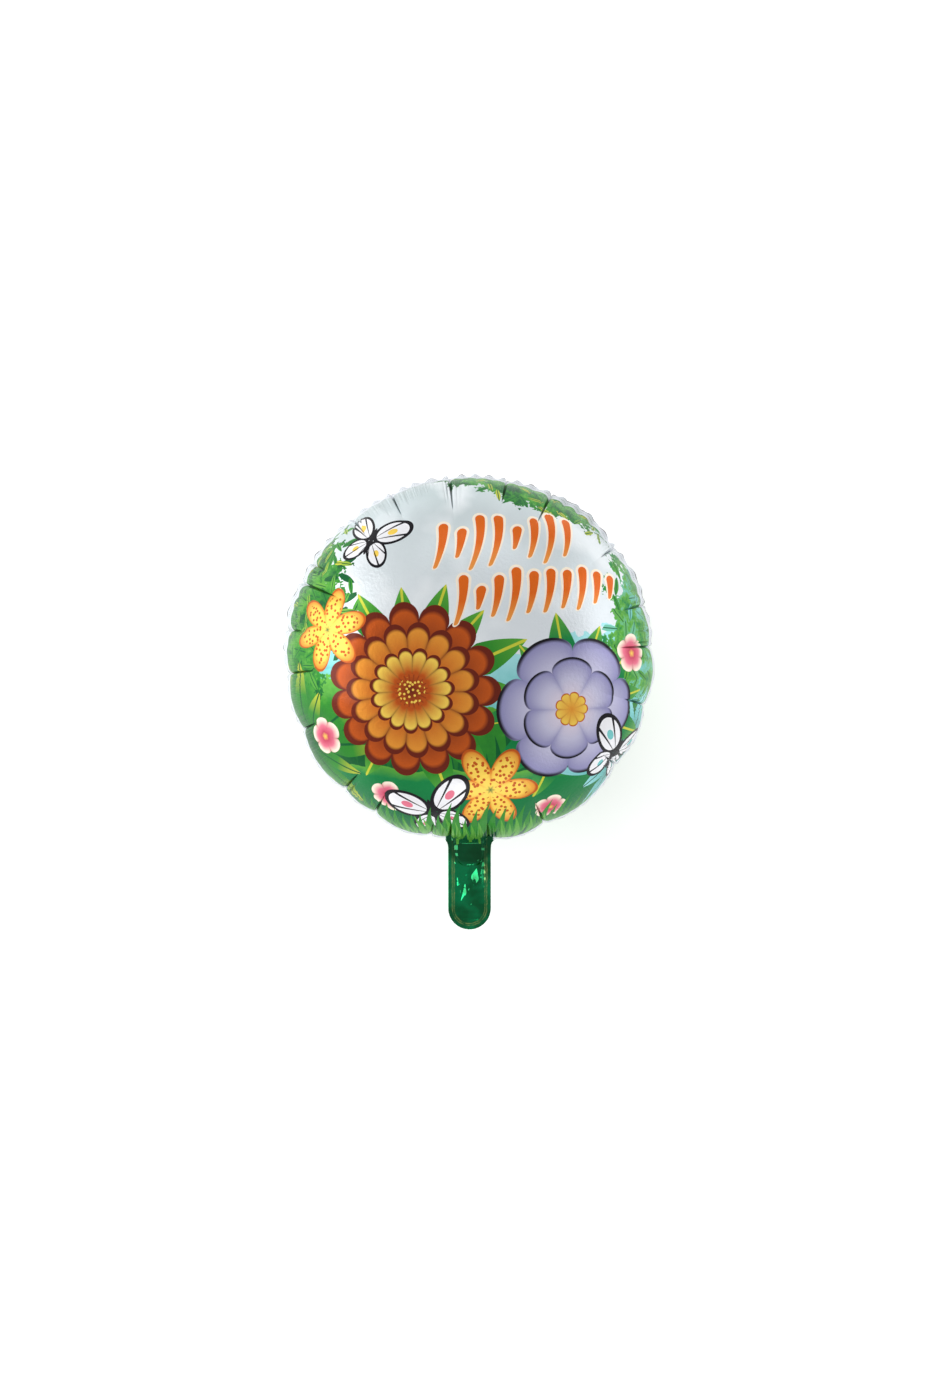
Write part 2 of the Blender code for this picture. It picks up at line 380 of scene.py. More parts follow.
# The welded edge: past the disc both films are pressed flat together by a hot tool. The band
# isn't swelled, so it puckers between the creases. It leans back behind the disc, steeply at
# the sides and the bottom and least at the upper right.
BAND_WIDTH = 0.0061
BAND_STEPS = (0.34, 0.67, 1.0)  # rings of vertices, in shares of its width
BAND_FLUTTER = 0.34  # how far its puckers lean each way, in radians
FLUTTER_LAG = 0.8  # in radians of a pucker
SEAM_WAVE = 0.0010  # how far each pucker takes the weld up and down
SEAM_LEAD = 0.9  # in radians of a pucker
SEAM_REACH = 0.008  # how far in from the weld this is felt
SEAM_SWAY = (
    # slow sways of the weld all round: height, number of waves, phase
    (0.0007, 3, 0.6), (0.0005, 7, 2.0),
)


def seam_height(angles):
    """How far the weld wanders up and down."""
    puckers = rim_waves(angles)[0]
    lively = rim_state(angles)[0]
    slow = sum(height * np.sin(waves * angles + phase) for height, waves, phase in SEAM_SWAY)
    wander = SEAM_WAVE * lively * np.cos(math.tau * puckers + SEAM_LEAD) + slow
    return wander * (1 - near_tail(angles, SMOOTH_AT_TAIL))


def band_tilt(angles):
    """How steeply the flat welded band stands to the front (+) or the back (-)."""
    puckers = rim_waves(angles)[0]
    lively, folded = rim_state(angles)[:2]
    flutter = BAND_FLUTTER * lively * np.cos(math.tau * puckers - FLUTTER_LAG)
    return (flutter - folded) * (1 - near_tail(angles, FLAT_AT_TAIL))


def ring_places():
    """Flat distance and stride of each ring of vertices, from the middle out."""
    places = []
    start = 0.0
    for end, count, stride in RINGS:
        end = min(end, WELD_AT)
        for i in range(count):
            places.append((start + (end - start) * (i + 1) / count, stride))
        start = end
    return places


def sheet_disc(side, random):
    """Vertices, faces, attributes and face kinds of one sheet's disc, closed at the weld."""
    places = ring_places()
    flat = np.array([place for place, stride in places])
    radius = np.interp(flat, PROFILE[0], PROFILE[1])
    height = np.interp(flat, PROFILE[0], PROFILE[2])
    slope = np.interp(flat, PROFILE[0], PROFILE[3])
    angles = angles_around(AROUND)
    out, painted_crease_shade = gathered(flat, radius, angles, side, random)
    seam = seam_height(angles)
    follow = np.exp(-np.clip(WELD_AT - flat, 0, None) / SEAM_REACH)[:, None]
    plan = radius[:, None] + out * np.sin(slope)[:, None]
    rise = height[:, None] + out * np.cos(slope)[:, None]
    if side < 0:
        rest = np.interp(REST_RADIUS, PROFILE[1], PROFILE[2])
        rise = np.minimum(rise, rest)
    lift = side * (rise + SHEET_GAP / 2 + FILM_EDGE) + seam * follow
    verts = [(0.0, 0.0, lift[0].mean())]
    flats = [(0.0, 0.0, 0.0)]
    # depth holds the painted shade of the creases at each vertex, not how deep they are
    depth = [0.0]
    kinds = []
    faces = []
    starts = []

    def add_ring(plan_here, lift_here, flat_here, painted_crease_shade_here, stride):
        starts.append((len(verts), stride))
        for i in range(0, AROUND, stride):
            cos, sin = math.cos(angles[i]), math.sin(angles[i])
            verts.append((plan_here[i] * cos, plan_here[i] * sin, lift_here[i]))
            flats.append((flat_here * cos / WELD_AT, flat_here * sin / WELD_AT, 0.0))
            depth.append(painted_crease_shade_here[i])

    def face(*corners, kind=PRINTED):
        faces.append(corners if side > 0 else corners[::-1])
        kinds.append(kind)

    for row, (distance, stride) in enumerate(places):
        add_ring(plan[row], lift[row], distance, painted_crease_shade[row], stride)
    tilt = band_tilt(angles)
    outer, inner = FILM_EDGE + SHEET_GAP / 2, SHEET_GAP / 2
    for share, off in [(share, outer) for share in BAND_STEPS] + [(1.0, inner)]:
        width = BAND_WIDTH * share
        bend = tilt * min(1.0, 0.5 + share)
        band_plan = plan[-1] + width * np.cos(bend) - side * off * np.sin(bend)
        band_lift = seam + width * np.sin(bend) + side * off * np.cos(bend)
        add_ring(band_plan, band_lift, WELD_AT + width, painted_crease_shade[-1], 1)
    add_ring(plan[-1], seam + side * inner, WELD_AT, painted_crease_shade[-1], 1)

    first, stride = starts[0]
    count = AROUND // stride
    for i in range(count):
        face(0, first + i, first + (i + 1) % count)
    band_rows = len(places) + len(BAND_STEPS) + 1
    for row, ((inner, coarse), (outer, fine)) in enumerate(zip(starts, starts[1:])):
        kind = PRINTED if row + 1 < len(places) else BAND if row + 1 < band_rows else HIDDEN
        ratio = coarse // fine
        inner_count, outer_count = AROUND // coarse, AROUND // fine
        for i in range(inner_count):
            a, b = inner + i, inner + (i + 1) % inner_count
            if ratio == 1:
                face(a, outer + i, outer + (i + 1) % outer_count, b, kind=kind)
            else:
                c, d = outer + 2 * i, outer + 2 * i + 1
                e = outer + (2 * i + 2) % outer_count
                face(a, c, d, kind=kind)
                face(a, d, b, kind=kind)
                face(b, d, e, kind=kind)
    centre = len(verts)
    verts.append((0.0, 0.0, side * SHEET_GAP / 2))
    flats.append((0.0, 0.0, 0.0))
    depth.append(0.0)
    last = starts[-1][0]
    for i in range(AROUND):
        face(last + i, centre, last + (i + 1) % AROUND, kind=HIDDEN)
    return verts, faces, flats, depth, kinds


# The filling tail: the same two sheets run on below the disc as a tongue with a round end,
# welded along its sides and tip. Where it leaves the disc the gas swells a short neck, and past
# that the empty film is crumpled from filling.
TAIL_WIDTH = 0.0400
TAIL_LENGTH = 0.0810
TAIL_WELD = 0.0047
TAIL_PUFF = 0.0024
TAIL_ROWS = 150
TAIL_COLUMNS = 76
TAIL_ROOT_INSIDE = 0.0035  # how far the tail runs in behind the disc's steep rim
TAIL_LIFT = 0.0002  # keeps its film clear of the disc's weld
TAIL_SLOPE = 0.0040  # how far in from its weld the folds reach their full height
FLARE_WIDTH = 0.0022  # of the small fillet at the disc
FLARE_AT = 0.004  # how far past the disc's rim the fillet starts to narrow
EDGE_WAVE = 0.00018  # how far its flat edge wanders up and down
EDGE_WAVE_IN = 0.001  # how far in from its outline it does so in full
NECK_END = 0.0270  # from the disc's rim to the neck's rounded end
NECK_HEIGHT = 0.0034
NECK_GROOVE = 0.0009  # depth of the pinched line round the neck's end
GROOVE_WIDTH = 0.0010
COLLAR_HEIGHT = 0.0100  # how high the disc's foil runs out into the neck
COLLAR_REACH = 0.0062
COLLAR_OVER = 0.0015  # how far it stands over the tail's weld at each side
PRINT_RUNS_ON = 0.0046  # how far the disc's print goes past the rim, in the middle
PRINT_SIDES = 0.0040  # how much farther at the sides
FOLDS = (
    # place across and down from the disc's rim, lean to the right in degrees, half length,
    # reach to the left and to the right, height
    (0.0012, 0.0382, 11, 0.0190, 0.0060, 0.0080, -0.0024),
    (0.0092, 0.0382, 11, 0.0190, 0.0080, 0.0110, 0.0034),
    (-0.0058, 0.0480, 13, 0.0140, 0.0060, 0.0058, -0.0024),
    (0.0000, 0.0480, 13, 0.0140, 0.0058, 0.0100, 0.0013),
    (-0.0005, 0.0255, 90, 0.0050, 0.0012, 0.0012, 0.0008),
    (-0.0100, 0.0455, -8, 0.0120, 0.0014, 0.0014, 0.0010),
    (-0.0132, 0.0245, -24, 0.0055, 0.0010, 0.0010, 0.0008),
    (0.0118, 0.0225, 36, 0.0062, 0.0010, 0.0012, 0.0008),
    (0.0016, 0.0620, 28, 0.0060, 0.0040, 0.0014, 0.0008),
)
CRUMPLE = 0.0004  # how far the small flat facets between them stand up
FACET_WIDE = 0.0064
FACET_LONG = 0.0115
FACETS = (16, 40)  # across and down, more than the tail needs


def tail_half_width(y):
    """Half width of the tail's outline, with a small fillet at the disc and a round tip."""
    half = TAIL_WIDTH / 2
    tip = -FILLED_RADIUS - BAND_WIDTH - TAIL_LENGTH
    rounded = math.sqrt(max(0.0, half ** 2 - max(0.0, tip + half - y) ** 2))
    past = max(0.0, -FILLED_RADIUS - FLARE_AT - y)
    return rounded + FLARE_WIDTH * math.exp(-past / FLARE_WIDTH)


def crumple(x, y, heights):
    """Height of film folded into flat facets, from -1 to 1."""
    u = x / FACET_WIDE + 0.30 * math.sin(170 * y + 1.0) + 7.0
    v = -y / FACET_LONG + 0.45 * math.sin(230 * x + 0.6)
    i, j = int(u), int(v)
    along, down = u - i, v - j
    a, b = heights[i, j], heights[i + 1, j]
    c, d = heights[i, j + 1], heights[i + 1, j + 1]
    if (i + j) % 2:
        if along + down < 1:
            return a + along * (b - a) + down * (c - a)
        return d + (1 - along) * (c - d) + (1 - down) * (b - d)
    if along > down:
        return a + along * (b - a) + down * (d - b)
    return a + down * (c - a) + along * (d - c)


def folded(x, down):
    """Height of the film's sharp folds, each a low roof that comes to a point at both ends."""
    rise = 0.0
    for fold_x, fold_down, lean, half_length, left, right, height in FOLDS:
        cos, sin = math.cos(math.radians(lean)), math.sin(math.radians(lean))
        along = (x - fold_x) * sin + (fold_down - down) * cos
        across = (x - fold_x) * cos - (fold_down - down) * sin
        share = across / right if across > 0 else -across / left
        rise += height * max(0.0, 1 - abs(along) / half_length - share)
    return rise


def tail_rise(x, y, inset, heights):
    """How high the tail's film stands over its weld."""
    down = -FILLED_RADIUS - y
    edge_share = min(1.0, max(0.0, inset - TAIL_WELD) / TAIL_SLOPE)
    within = TAIL_WIDTH / 2 - TAIL_WELD
    off_middle = 1 - min(1.0, max(0.0, inset - TAIL_WELD) / within)
    pillow = TAIL_PUFF * (1 - off_middle ** 2) ** 1.3
    puff = pillow + edge_share * (folded(x, down) + CRUMPLE * crumple(x, y, heights))
    oval = (abs(x) / within) ** 2.4 + max(0.0, down / NECK_END) ** 2.6
    neck = NECK_HEIGHT * max(0.0, 1 - oval) ** 0.55
    past_neck = (oval ** (1 / 2.6) - 1) * NECK_END
    groove = NECK_GROOVE * math.exp(-(past_neck / GROOVE_WIDTH) ** 2)
    collar = COLLAR_HEIGHT * max(0.0, 1 - max(0.0, down) / COLLAR_REACH) ** 1.2
    collar *= max(0.0, 1 - (abs(x) / (within + COLLAR_OVER)) ** 3)
    return max(puff - edge_share * groove, edge_share * (neck + 0.25 * puff), 0.0) + collar


def sheet_tail(side, random):
    """Vertices, faces, attributes and face kinds of one sheet's half of the tail."""
    root = -FILLED_RADIUS + TAIL_ROOT_INSIDE
    tip = -FILLED_RADIUS - BAND_WIDTH - TAIL_LENGTH
    half = TAIL_WIDTH / 2
    straight = root - (tip + half)
    length = straight + half * math.pi / 2
    heights = random.uniform(-1, 1, FACETS)
    verts, flats, insets, faces, kinds = [], [], [], [], []

    def face(corners, kind):
        faces.append(corners if side > 0 else corners[::-1])
        kinds.append(kind)

    for row in range(TAIL_ROWS + 1):
        gone = length * row / TAIL_ROWS
        if gone < straight:
            y = root - gone
        else:
            y = tip + half - half * math.sin((gone - straight) / half)
        wide = tail_half_width(y) if row < TAIL_ROWS else 0.0
        for column in range(TAIL_COLUMNS + 1):
            x = wide * (2 * column / TAIL_COLUMNS - 1)
            beyond = max(0.0, tip + half - y)
            inset = half - math.hypot(x, beyond)
            wave = EDGE_WAVE * math.sin(900 * y + 60 * x)
            wave *= min(1.0, max(0.0, inset) / EDGE_WAVE_IN)
            lift = FILM_EDGE + TAIL_LIFT + wave + tail_rise(x, y, inset, heights)
            verts.append((x, y, side * (lift + SHEET_GAP / 2)))
            flats.append((x / WELD_AT, -(WELD_AT - FILLED_RADIUS - y) / WELD_AT, 0.0))
            insets.append(inset)
    across = TAIL_COLUMNS + 1
    for row in range(TAIL_ROWS):
        for column in range(TAIL_COLUMNS):
            a = row * across + column
            x, y, _ = verts[a]
            off_middle = abs(x) / (half - TAIL_WELD)
            printed_to = PRINT_RUNS_ON + PRINT_SIDES * off_middle ** 2
            printed = -FILLED_RADIUS - y < printed_to and off_middle < 1
            face((a, a + across, a + across + 1, a + 1), PRINTED if printed else TAIL)
    rim = [row * across for row in range(TAIL_ROWS + 1)]
    rim += [TAIL_ROWS * across + column for column in range(1, across)]
    rim += [row * across + TAIL_COLUMNS for row in range(TAIL_ROWS - 1, -1, -1)]
    rim += [column for column in range(TAIL_COLUMNS - 1, 0, -1)]
    under = len(verts)
    for index in rim:
        x, y, _ = verts[index]
        verts.append((x, y, side * SHEET_GAP / 2))
        flats.append(flats[index])
        insets.append(insets[index])
    for i, index in enumerate(rim):
        j = (i + 1) % len(rim)
        face((index, under + i, under + j, rim[j]), TAIL)
    face(tuple(range(under, len(verts)))[::-1], HIDDEN)
    return verts, faces, flats, insets, kinds


def sheet_mesh(name, side, seed):
    """One whole foil sheet, disc and tail, with the attributes that its materials read."""
    random = np.random.default_rng(seed)
    verts, faces, flats, depth, kinds = sheet_disc(side, random)
    more, tail_faces, tail_flats, insets, tail_kinds = sheet_tail(side, random)
    first = len(verts)
    verts += more
    faces += [tuple(first + corner for corner in corners) for corners in tail_faces]
    flats += tail_flats
    kinds += tail_kinds
    depth += [0.0] * len(more)
    insets = [0.0] * first + insets
    mesh = bpy.data.meshes.new(name)
    mesh.from_pydata(verts, [], faces)
    mesh.attributes.new("flat", "FLOAT_VECTOR", "POINT").data.foreach_set(
        "vector", np.array(flats).ravel()
    )
    # Painted shade in the bottoms of the creases, which the print's material reads.
    mesh.attributes.new("painted_crease_shade", "FLOAT", "POINT").data.foreach_set("value", depth)
    mesh.attributes.new("inset", "FLOAT", "POINT").data.foreach_set("value", insets)
    corners = np.zeros(len(mesh.loops), dtype=int)
    mesh.loops.foreach_get("vertex_index", corners)
    place = np.array(flats)[corners][:, :2]
    hidden = np.repeat(np.array(kinds) == HIDDEN, [len(f) for f in faces])
    tucked_away = place * HIDDEN_MAP_SIZE + HIDDEN_MAP_AT
    place = np.where(hidden[:, None], tucked_away, (place + MAP_CENTRE) / MAP_SIZE)
    mesh.uv_layers.new(name="OFBake").uv.foreach_set("vector", place.ravel())
    mesh.polygons.foreach_set("material_index", [MATERIAL_OF[kind] for kind in kinds])
    mesh.validate()
    mesh.shade_smooth()
    return mesh


# The print: opaque inks on the outside of the film, laid flat one over another while the disc
# is still a flat web, so they draw in with the foil where it gathers. Over them lies a satin
# varnish, and the metal under them still shows as a soft sheen.
class Inks:
    """Flat inks laid one over another in a material's nodes, each through its own stencil.

    Places are in shares of the flat disc's radius, from its middle, and turns in degrees.
    """

    def __init__(self, material, ground):
        self.tree = material.node_tree
        self.point = self.node("Attribute", out="Vector", attribute_name="flat")
        self.x, self.y = self.split(self.point)
        self.colour = ground(self) if callable(ground) else ground

    def node(self, kind, *values, out=0, **settings):
        made = self.tree.nodes.new("ShaderNode" + kind)
        for name, value in settings.items():
            setattr(made, name, value)
        for socket, value in zip(made.inputs, values):
            self.feed(socket, value)
        return made.outputs[out]

    def feed(self, socket, value):
        if isinstance(value, bpy.types.NodeSocket):
            self.tree.links.new(value, socket)
        elif value is not None:
            socket.default_value = value

    def maths(self, operation, *values):
        return self.node("Math", *values, operation=operation)

    times = partialmethod(maths, "MULTIPLY")
    over = partialmethod(maths, "DIVIDE")
    minus = partialmethod(maths, "SUBTRACT")
    linear = partialmethod(maths, "MULTIPLY_ADD")  # value, slope, start
    below = partialmethod(maths, "LESS_THAN")
    above = partialmethod(maths, "GREATER_THAN")
    bare = partialmethod(maths, "ABSOLUTE")

    def split(self, vector):
        parts = self.node("SeparateXYZ", vector).node
        return parts.outputs[0], parts.outputs[1]

    def join(self, x, y):
        return self.node("CombineXYZ", x, y, 0.0)

    def length(self, vector):
        return self.node("VectorMath", vector, out="Value", operation="LENGTH")

    def placed(self, at, turn=0.0, size=(1.0, 1.0), point=None):
        """Coordinates of a motif that sits at a place, turned, its half sizes scaled to 1."""
        return self.node(
            "Mapping", point or self.point, (*at, 0.0), (0.0, 0.0, math.radians(turn)),
            (*size, 1.0), vector_type="TEXTURE",
        )

    def noise(self, scale, detail=2.0, rough=0.5):
        return self.node("TexNoise", self.point, None, scale, detail, rough, noise_dimensions="2D")

    def chance(self, cell, seed):
        """A random number for each cell of a pattern."""
        return self.node("TexWhiteNoise", None, self.maths("ADD", cell, seed), noise_dimensions="1D")

    def share(self, value, low, high, top=1.0):
        """0 up to low, then up to top at high."""
        return self.node("MapRange", value, low, high, 0.0, top)

    def bands(self, value, *stops, steps=False):
        """Colour along a value from 0 to 1, given as (place, ink) stops."""
        made = self.node("ValToRGB", value)
        ramp = made.node.color_ramp
        ramp.interpolation = "CONSTANT" if steps else "LINEAR"
        while len(ramp.elements) < len(stops):
            ramp.elements.new(1.0)
        for element, (place, colour) in zip(ramp.elements, stops):
            element.position = place
            element.color = colour
        return made

    def mix(self, share, under, over):
        made = self.tree.nodes.new("ShaderNodeMix")
        made.data_type = "RGBA"
        for index, value in ((0, share), (6, under), (7, over)):
            self.feed(made.inputs[index], value)
        return made.outputs[2]

    def lay(self, stencil, colour):
        self.colour = self.mix(stencil, self.colour, colour)


def ink(red, green, blue):
    """An ink's colour, given as it looks on a screen, 0 to 255."""
    shares = [part / 255 for part in (red, green, blue)]
    return (*[s / 12.92 if s <= 0.04045 else ((s + 0.055) / 1.055) ** 2.4 for s in shares], 1.0)


def bank(inks, level, swell, bump, scale, colours):
    """A bank of far leaves or ground: all that lies below a bumpy line, paler at its top."""
    lift = inks.times(inks.x, inks.x)
    rough = inks.noise(scale, 3.0, 0.6)
    edge = inks.linear(lift, swell, level - bump / 2)
    edge = inks.linear(rough, bump, edge)
    under = inks.minus(edge, inks.y)
    share = inks.times(under, 2.2)
    inks.lay(inks.above(under, 0.0), inks.bands(share, *colours))


def bush(inks, at, size, turn, scale, colours):
    """A mass of foliage with a ragged edge."""
    reach = inks.length(inks.placed(at, turn, size))
    rough = inks.noise(scale, 4.0, 0.75)
    edge = inks.linear(rough, 1.5, reach)
    inks.lay(inks.below(edge, 1.62), inks.bands(rough, *colours))


def leafage(inks, at, size, scale, colours, turn=0.0, slim=0.42, shift=0.0):
    """Small leaves, each turned its own way, strewn over an oval."""
    spot = inks.placed((shift, shift))
    spread = inks.node("TexVoronoi", spot, None, scale, voronoi_dimensions="2D").node
    spread.inputs["Randomness"].default_value = 0.85
    off = inks.node("VectorMath", spot, spread.outputs["Position"], operation="SUBTRACT")
    chance = inks.node("SeparateColor", spread.outputs["Color"])
    angle = inks.times(chance, math.tau)
    turned_off = inks.node("VectorRotate", off, (0, 0, 0), (0, 0, 1), angle)
    leaf = inks.node("VectorMath", turned_off, None, None, scale, operation="SCALE")
    x, y = inks.split(leaf)
    across = inks.bare(y)
    edge = inks.linear(across, 1 / slim, inks.times(x, x))
    middle = inks.node("VectorMath", spread.outputs["Position"], (shift, shift, 0), operation="ADD")
    inside = inks.below(inks.length(inks.placed(at, turn, size, middle)), 1.0)
    colour = inks.bands(chance.node.outputs[1], *colours)
    colour = inks.mix(inks.below(across, 0.03), colour, LEAF_DARK)
    inks.lay(inks.times(inks.below(edge, 0.42), inside), colour)


def fan(inks, at, radius, count, width, colours, vein, turn, seed):
    """A crown of long pointed leaves round one place."""
    spot = inks.placed(at, turn, (radius, radius))
    x, y = inks.split(spot)
    angle = inks.maths("ARCTAN2", y, x)
    step = math.tau / count
    cell = inks.maths("ROUND", inks.over(angle, step))
    off = inks.linear(cell, -step, angle)
    long = inks.linear(inks.chance(cell, seed), 0.4, 0.6)
    reach = inks.over(inks.length(spot), long)
    along = inks.times(reach, inks.maths("COSINE", off))
    across = inks.bare(inks.times(reach, inks.maths("SINE", off)))
    middle = inks.linear(along, 2.0, -1.0)
    edge = inks.linear(middle, middle, inks.over(across, width))
    colour = inks.bands(along, *colours)
    colour = inks.mix(inks.below(across, 0.012), colour, vein)
    inks.lay(inks.below(edge, 1.0), colour)


def blades(inks, level, tall, spacing, lean, colour, seed):
    """A row of grass blades of uneven height, standing on a level."""
    up = inks.over(inks.minus(inks.y, level), tall)
    bent = inks.linear(inks.times(up, up), lean * spacing, inks.x)
    place = inks.over(bent, spacing)
    cell = inks.maths("FLOOR", place)
    off = inks.bare(inks.minus(inks.maths("FRACT", place), 0.5))
    tallest = inks.linear(inks.chance(cell, seed), 0.7, 0.35)
    height = inks.linear(off, -1.9, tallest)
    inks.lay(inks.below(up, height), colour)


def bloom(inks, at, radius, petals, notch, colours, groove, turn=0.0, power=0.5):
    """A ring of petals seen from the front. Colours run from its heart, 0, to its edge, 1."""
    spot = inks.placed(at, turn, (radius, radius))
    x, y = inks.split(spot)
    angle = inks.maths("ARCTAN2", y, x)
    wave = inks.maths("COSINE", inks.times(angle, petals / 2))
    petal = inks.bare(wave)
    reach = inks.linear(inks.maths("POWER", petal, power), notch, 1 - notch)
    share = inks.over(inks.length(spot), reach)
    colour = inks.bands(share, *colours)
    gap = inks.maths("POWER", inks.minus(1.0, petal), 3.0)
    gap = inks.times(inks.times(gap, share), PETAL_SHADE)
    colour = inks.mix(gap, colour, groove)
    inks.lay(inks.below(share, 1.0), colour)
    return share


def freckles(inks, share, inner, scale, colour):
    """Round freckles scattered over a bloom's petals."""
    near = inks.node("TexVoronoi", inks.point, None, scale, voronoi_dimensions="2D")
    ring = inks.times(inks.above(share, inner), inks.below(share, 0.82))
    inks.lay(inks.times(ring, inks.below(near, 0.28)), colour)


def butterfly(inks, at, size, turn, tint):
    """A white butterfly with black veins and edges, seen from above."""
    x, y = inks.split(inks.placed(at, turn, (size, size)))
    half = inks.join(inks.bare(x), y)
    upper = inks.length(inks.placed((0.54, 0.40), 36, (0.60, 0.37), half))
    lower = inks.length(inks.placed((0.36, -0.34), -52, (0.44, 0.30), half))
    share = inks.maths("MINIMUM", upper, lower)
    wings = inks.bands(share, (0.0, tint), (0.24, WHITE), (0.80, BLACK), steps=True)
    side, up = inks.split(half)
    rays = inks.maths("COSINE", inks.times(inks.maths("ARCTAN2", up, side), 15.0))
    wings = inks.mix(inks.above(rays, 0.90), wings, BLACK)
    inks.lay(inks.below(share, 1.0), wings)
    body = inks.length(inks.placed((0.0, -0.02), 0.0, (0.07, 0.44), half))
    inks.lay(inks.below(body, 1.0), BLACK)


def strokes(inks, at, turn, count, spacing, tall, wide, seed, colours, rim):
    """A row of slanting brush strokes of uneven height, each with a pale rim."""
    x, y = inks.split(inks.placed(at, turn))
    bend = inks.linear(inks.times(y, y), 1.3, x)
    slant = inks.linear(y, -0.30, bend)
    place = inks.over(slant, spacing)
    cell = inks.maths("FLOOR", place)
    off = inks.linear(inks.minus(place, cell), spacing, -spacing / 2)
    half = inks.linear(inks.chance(cell, seed), tall * 0.62, tall * 0.30)
    past = inks.minus(inks.bare(y), half)
    away = inks.length(inks.join(off, inks.maths("MAXIMUM", past, 0.0)))
    taper = inks.node("MapRange", inks.over(y, half), -1.0, 1.0, 0.55, 1.25)
    away = inks.over(away, taper)
    in_row = inks.below(inks.bare(slant), count * spacing / 2)
    inks.lay(inks.times(in_row, inks.below(away, wide * STROKE_RIM)), rim)
    colour = inks.bands(inks.linear(y, 1 / (2.2 * tall), 0.5), *colours)
    inks.lay(inks.times(in_row, inks.below(away, wide)), colour)


SKY_TOP = ink(198, 211, 213)
SKY_MIDDLE = ink(222, 230, 234)
SKY_LOW = ink(232, 236, 243)
CLOUD = ink(242, 247, 250)
LEAF_DARK = ink(16, 96, 48)
LEAF = ink(52, 142, 48)
LEAF_BRIGHT = ink(96, 172, 62)
LEAF_TIP = ink(204, 208, 66)
LAGOON = ink(120, 200, 200)
LAGOON_PALE = ink(168, 228, 232)
MEADOW = ink(22, 132, 70)
MEADOW_DEEP = ink(8, 92, 56)
PETAL_SHADE = 0.88  # how strong the groove between two petals is
STROKE_RIM = 1.55  # a stroke with its rim, in widths of the stroke
CREASE_SHADE = 0.20  # share of light that gets to the bottom of a crease


def sky(inks):
    """Pale sky with soft clouds."""
    height = inks.linear(inks.y, 0.5, 0.5)
    drift = inks.linear(inks.noise(2.2, 3.0), 0.22, height)
    ground = inks.bands(drift, (0.45, SKY_LOW), (0.78, SKY_MIDDLE), (1.05, SKY_TOP))
    cloud = inks.share(inks.noise(3.1, 3.0, 0.45), 0.50, 0.66, 0.7)
    return inks.mix(cloud, ground, CLOUD)


def land(inks):
    """Far trees, hedge and meadow, with grass along the meadow's edge."""
    bank(inks, 0.0, 0.42, 0.34, 5.0, ((0.0, LAGOON_PALE), (0.5, LAGOON), (1.0, LEAF_BRIGHT)))
    bank(inks, -0.20, 0.30, 0.26, 9.0, ((0.0, LEAF_BRIGHT), (0.25, LEAF), (0.8, LEAF_DARK)))
    blades(inks, -0.47, 0.20, 0.050, 0.8, LEAF_DARK, 3.0)
    bank(inks, -0.48, 0.0, 0.06, 6.0, ((0.0, LEAF_BRIGHT), (0.10, MEADOW), (1.0, MEADOW_DEEP)))


FOIL_SETTINGS = ("Metallic", "Roughness", "Specular IOR Level", "Coat Weight", "Coat Roughness")


def new_foil(name, *values):
    """A foil material and its shader. The values are those of FOIL_SETTINGS, in their order."""
    material = bpy.data.materials.new(name)
    material.use_nodes = True
    shader = material.node_tree.nodes["Principled BSDF"]
    for setting, value in zip(FOIL_SETTINGS, values):
        shader.inputs[setting].default_value = value
    return material, shader


def gathers(inks, scale, spread):
    """Hair-fine wrinkles that run in from the rim, thick in some stretches of it."""
    angle = inks.maths("ARCTAN2", inks.y, inks.x)
    lines, stretches = [
        inks.node("TexNoise", None, angle, how_fine, 2.0, 0.5, noise_dimensions="1D")
        for how_fine in (scale, spread)
    ]
    near_rim = inks.share(inks.length(inks.point), 0.78, 0.95)
    return inks.times(inks.times(lines, inks.share(stretches, 0.36, 0.56, 22.0)), near_rim)


def crinkle(inks, scale):
    """Fine crinkle of the film."""
    return inks.noise(scale, 3.0, 0.6)


def finish(inks, shader, relief, strength, distance):
    """Give the shader its colour, and a relief too fine for the mesh."""
    inks.tree.links.new(inks.colour, shader.inputs["Base Color"])
    bump = inks.node("Bump", strength, distance, None, relief)
    inks.tree.links.new(bump, shader.inputs["Normal"])


def printed_foil(name, paint):
    """Satin foil with a print, and painted shadow in the bottoms of its creases."""
    material, shader = new_foil(name, 0.34, 0.40, 0.08, 0.16, 0.12)
    inks = Inks(material, sky)
    land(inks)
    paint(inks)
    # Painted shade: the print is darkened in the bottoms of the creases, as the mesh records them.
    deep = inks.node("Attribute", out="Fac", attribute_name="painted_crease_shade")
    shaded = inks.node("VectorMath", inks.colour, None, None, CREASE_SHADE, operation="SCALE")
    inks.lay(inks.share(deep, 0.08, 0.75, 0.92), shaded)
    relief = inks.maths("ADD", crinkle(inks, 70.0), gathers(inks, 80.0, 2.3))
    finish(inks, shader, relief, strength=0.5, distance=0.0006)
    return material


# The foil of the welded edge: the print's pale ground runs out over it, and the hot tool has
# left a row of fine dashes along it. Its cut edge is darker here and there.
BAND_GREY = ink(228, 233, 239)
BAND_DASH = ink(144, 152, 158)
CUT_EDGE_SHADE = ink(112, 110, 112)
DASHES_ROUND = 620
DASH_ROW_AT = 1.012  # in shares of the flat disc's radius
DASH_ROW_WIDE = 0.0026
CUT_EDGE_AT = 1.0225

